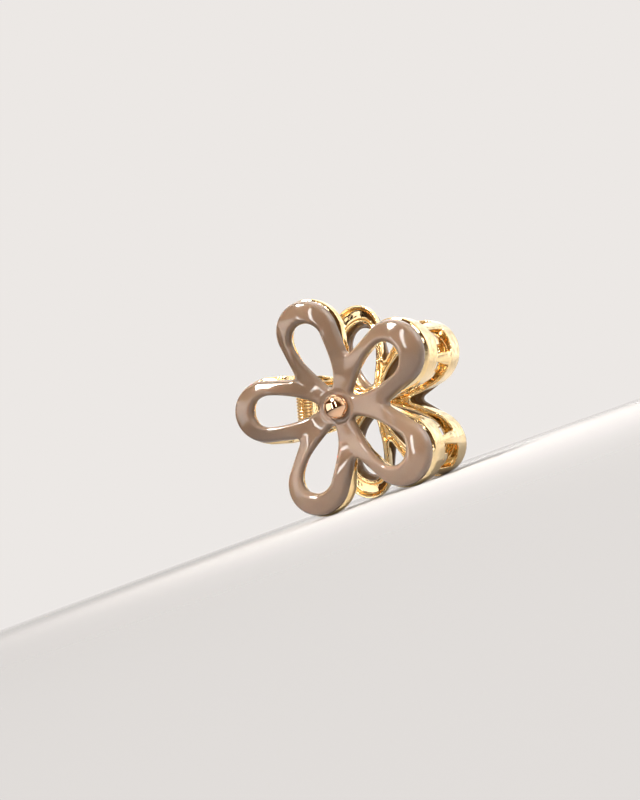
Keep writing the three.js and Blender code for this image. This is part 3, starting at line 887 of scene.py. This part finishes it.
under_head = -EAR_END - SEAT_GAP
pin_tip = EAR_END + SEAT_GAP + PIN_SOCKET
hinge_piece("turned_hinge_pin", [
    (0, under_head - PIN_HEAD_THICK), (PIN_HEAD * 0.6, under_head - PIN_HEAD_THICK * 0.94),
    (PIN_HEAD, under_head - PIN_HEAD_THICK * 0.45), (PIN_HEAD, under_head),
    (PIN_RADIUS, under_head), (PIN_RADIUS, pin_tip), (0, pin_tip)], "hinge_pin")
cap_start = EAR_END + SEAT_GAP
cap_end = cap_start + PIN_CAP_THICK
bore = PIN_RADIUS + CAP_CLEARANCE
hinge_piece("turned_pin_cap", [
    (0, cap_start + PIN_SOCKET + SEAT_GAP), (bore, cap_start + PIN_SOCKET + SEAT_GAP),
    (bore, cap_start), (PIN_HEAD, cap_start), (PIN_HEAD, cap_end - 0.6),
    (PIN_HEAD * 0.6, cap_end - 0.07), (0, cap_end)], "hinge_pin_cap")
print("pin", round(pin_tip - under_head + PIN_HEAD_THICK, 2), "mm long")

# %% [markdown]
# ## The torsion spring
# One plated steel wire makes a leg against the rear handle, eleven close turns round the pin and a
# leg against the front handle. Geometry Nodes sweep a round section along the wire's middle line.
# The swept wire is baked in place and attached to neither half.

# %% Torsion spring
COIL_RADIUS, COIL_TURNS, LEG_RUN = 2.6, 11, 4.6
STEPS_PER_TURN, LEG_POINTS, WIRE_SIDES, STILL_END = 18, 9, 14, 0.6


def wire_path():
    """The wire's middle line, in millimetres."""
    seat = FRAME_TOP - WALL_DEPTHS[0] - SEAT_GAP - WIRE_RADIUS
    rise = seat + lift(-HINGE_OFFSET - LEG_RUN, COIL_HALF)
    reach = math.hypot(LEG_RUN, rise)
    end_angle = math.atan2(rise, -LEG_RUN) - math.acos(COIL_RADIUS / reach)
    leg = math.sqrt(reach**2 - COIL_RADIUS**2)
    sweep = 2 * math.pi * COIL_TURNS + 2 * end_angle
    half = []
    for t in np.linspace(0, 1, COIL_TURNS * STEPS_PER_TURN + 1):
        angle = end_angle + (t / 2 - 0.5) * sweep
        half.append((COIL_RADIUS * math.cos(angle) - HINGE_OFFSET, COIL_HALF * t,
                     COIL_RADIUS * math.sin(angle)))
    x, y, z = half[-1]
    away = (-math.sin(end_angle), math.cos(end_angle))
    half += [(x + away[0] * leg * t, y, z + away[1] * leg * t) for t in np.linspace(0, 1, LEG_POINTS)[1:]]
    front = np.array(half)
    return np.vstack([front[:0:-1] * (1, -1, -1), front])


def wire_sweep_tree():
    tree, given = tree_with("wire_sweep", [
        ("Wire radius", "NodeSocketFloat", 0.0005),
        ("Sides", "NodeSocketInt", WIRE_SIDES),
        ("Finish", "NodeSocketMaterial", None)])
    line = add(tree, "GeometryNodeMeshToCurve", {"Mesh": given.outputs["Geometry"]})
    section = add(tree, "GeometryNodeCurvePrimitiveCircle", {
        "Resolution": given.outputs["Sides"], "Radius": given.outputs["Wire radius"]})
    wire = add(tree, "GeometryNodeCurveToMesh", {
        "Curve": line.outputs[0], "Profile Curve": section.outputs[0], "Fill Caps": True})
    real = add(tree, "GeometryNodeRealizeInstances", {"Geometry": wire.outputs[0]})
    finished = add(tree, "GeometryNodeSetMaterial", {
        "Geometry": real.outputs[0], "Material": given.outputs["Finish"]})
    add(tree, "NodeGroupOutput", {"Geometry": finished.outputs[0]})
    return tree


path = stand(wire_path())
spring_mesh = bpy.data.meshes.new("spring_wire")
spring_mesh.from_pydata([tuple(p) for p in path], [(i, i + 1) for i in range(len(path) - 1)], [])
spring = bpy.data.objects.new("spring_wire", spring_mesh)
bpy.context.scene.collection.objects.link(spring)
made_by(wire_sweep_tree(), spring, Finish=gold_wire, Sides=WIRE_SIDES,
        **{"Wire radius": WIRE_RADIUS / 1000})
smooth(spring, gold_wire)
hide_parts("torsion_spring")
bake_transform(spring)
wire_length = np.linalg.norm(np.diff(path, axis=0), axis=1).sum() * 1000
print("spring wire", round(wire_length, 1), "mm long")

# %% [markdown]
# ## The floor
# The clip stands on a plain round sheet of matt, pale paper, whose rim fades into the room.

# %% Floor
SHEET_RADIUS, FADE_START, FADE_END = 0.4, 0.03, 0.28


def paper():
    material, tree, place = new_material("matt_studio_paper")
    tone = blend_colours(tree, noise(tree, place, 400, 2.0), [(0.3, "#A4A4A6"), (0.7, "#A8A8AA")])
    fibre = add(tree, "ShaderNodeBump", {
        "Height": noise(tree, place, 0.6, 2.0), "Strength": 0.05, "Distance": 0.00005})
    sheet = add(tree, "ShaderNodeBsdfPrincipled", {
        "Base Color": tone, "Roughness": 0.9, "Normal": fibre.outputs["Normal"]})
    away = add(tree, "ShaderNodeVectorMath", {0: place}, operation="LENGTH")
    fade = add(tree, "ShaderNodeMapRange", {
        "Value": away.outputs["Value"], "From Min": FADE_START, "From Max": FADE_END})
    clear = add(tree, "ShaderNodeBsdfTransparent")
    both = add(tree, "ShaderNodeMixShader", {
        0: fade.outputs["Result"], 1: sheet.outputs["BSDF"], 2: clear.outputs[0]})
    add(tree, "ShaderNodeOutputMaterial", {"Surface": both.outputs[0]})
    return material


def round_sheet():
    radii, sides = (0.05, 0.1, 0.2, SHEET_RADIUS), 96
    points = [(r * math.cos(2 * math.pi * i / sides), r * math.sin(2 * math.pi * i / sides), 0)
              for r in radii for i in range(sides)]
    faces = [tuple(range(sides))]
    for row in range(len(radii) - 1):
        for i in range(sides):
            a, b = row * sides + i, row * sides + (i + 1) % sides
            faces.append((a, a + sides, b + sides, b))
    return mesh_object("studio_floor", points, faces)


floor = smooth(round_sheet(), paper())
print("floor ready")

# %% [markdown]
# ## Light
# Plain, soft studio light. The key box hangs in front of and above the clip, aimed at the jaws,
# with a grid that keeps most of its light off the handle. A pale panel at the front left lies
# where the flat of the petals mirrors it, and two narrow strips in front draw the streaks along
# the sloping bands. The room is white behind and above the clip and warm and dark in front, in
# soft patches, so the gold has both bright and dark things to mirror.

# %% Light
def soft_box(name, place, aim, width, height, power, colour="#FFFFFF", grid=180):
    data = bpy.data.lights.new(name, "AREA")
    data.shape, data.size, data.size_y = "RECTANGLE", width, height
    data.energy, data.color, data.spread = power, linear(colour)[:3], math.radians(grid)
    obj = bpy.data.objects.new(name, data)
    obj.location = place
    obj.rotation_euler = (Vector(aim) - Vector(place)).to_track_quat("-Z", "Y").to_euler()
    bpy.context.scene.collection.objects.link(obj)
    return obj


def from_centre(azimuth, elevation, distance):
    """A place this far from the clip's middle, azimuth 0 in front of it and 90 at its jaws."""
    a, e = math.radians(azimuth), math.radians(elevation)
    return (distance * math.sin(a) * math.cos(e), -distance * math.cos(a) * math.cos(e),
            CENTRE[2] + distance * math.sin(e))


CENTRE = (0.0, 0.0, 0.035)
JAWS = (0.046, -0.015, 0.03)
soft_box("key_box", from_centre(5, 50, 0.5), JAWS, 0.2, 0.2, 0.26, "#FFF8F0", 19)
soft_box("front_panel", from_centre(-40, 14, 0.9), CENTRE, 0.7, 0.6, 2.3, "#FFFAF5")
soft_box("left_strip", from_centre(-10, 12, 0.8), CENTRE, 0.06, 0.5, 0.9)
soft_box("right_strip", from_centre(17, 14, 0.8), CENTRE, 0.06, 0.5, 0.8)
soft_box("side_box", from_centre(100, 25, 0.9), CENTRE, 0.5, 0.6, 2.2)
soft_box("top_box", from_centre(170, 62, 0.9), CENTRE, 0.7, 0.6, 1.2)


# On directions, which have no length, this patch size gives about three patches to a side.
PATCH_SIZE, PATCH_LIGHT = 350, (0.5, 2.2)


def studio_world():
    """A plain room: even and pale for the camera, dark and warm in front for the mirrors."""
    world = bpy.data.worlds.new("studio")
    world.use_nodes = True
    tree = world.node_tree
    tree.nodes.clear()
    way = add(tree, "ShaderNodeTexCoord").outputs["Generated"]
    behind = Vector((0.35, 0.8, 0.5)).normalized()
    towards = add(tree, "ShaderNodeVectorMath", {0: way, 1: behind}, operation="DOT_PRODUCT")
    level = add(tree, "ShaderNodeMapRange", {
        "Value": towards.outputs["Value"], "From Min": -1.0, "From Max": 1.0})
    tone = blend_colours(tree, level.outputs["Result"], [
        (0.0, "#1F1712"), (0.42, "#49321F"), (0.62, "#E8DCCC"), (1.0, "#FFFFFF")])
    patches = spread(tree, noise(tree, way, PATCH_SIZE, 1.0), *PATCH_LIGHT)
    room = add(tree, "ShaderNodeBackground", {"Color": tone, "Strength": patches})
    seen = add(tree, "ShaderNodeBackground", {"Color": linear("#ECE8E5"), "Strength": 1.0})
    ray = add(tree, "ShaderNodeLightPath").outputs["Is Camera Ray"]
    both = add(tree, "ShaderNodeMixShader", {0: ray, 1: room.outputs[0], 2: seen.outputs[0]})
    add(tree, "ShaderNodeOutputWorld", {"Surface": both.outputs[0]})
    return world


bpy.context.scene.world = studio_world()
bpy.context.scene.view_settings.view_transform = "Standard"
print("six soft boxes")

# %% [markdown]
# ## Camera
# The camera looks at the front flower from its right and a little from below, close by, and is
# rolled so that the jaws point to the right. Depth of field stays off.

# %% Camera
AZIMUTH, ELEVATION, DISTANCE, ROLL_ANGLE = 31.80, -8.684, 0.23854, -19.849
AIM = Vector((-0.01507, 0.0, 0.04001))
FOCAL_HEIGHTS = 0.82156


def place_camera():
    a, e, r = (math.radians(v) for v in (AZIMUTH, ELEVATION, ROLL_ANGLE))
    back = Vector((math.sin(a) * math.cos(e), -math.cos(a) * math.cos(e), math.sin(e)))
    right = Vector((math.cos(a), math.sin(a), 0))
    up = back.cross(right)
    tilted_right = math.cos(r) * right + math.sin(r) * up
    tilted_up = math.cos(r) * up - math.sin(r) * right
    data = bpy.data.cameras.new("view")
    data.sensor_fit, data.sensor_height = "VERTICAL", 24.0
    data.lens = 24.0 * FOCAL_HEIGHTS
    data.clip_start, data.clip_end = 0.005, 50
    data.dof.use_dof = False
    obj = bpy.data.objects.new("view", data)
    turn = Matrix((tilted_right, tilted_up, back)).transposed().to_4x4()
    obj.matrix_world = Matrix.Translation(AIM + back * DISTANCE) @ turn
    bpy.context.scene.collection.objects.link(obj)
    bpy.context.scene.camera = obj
    return obj


camera = place_camera()
print("camera", round(camera.location.z * 1000, 1), "mm above the floor")
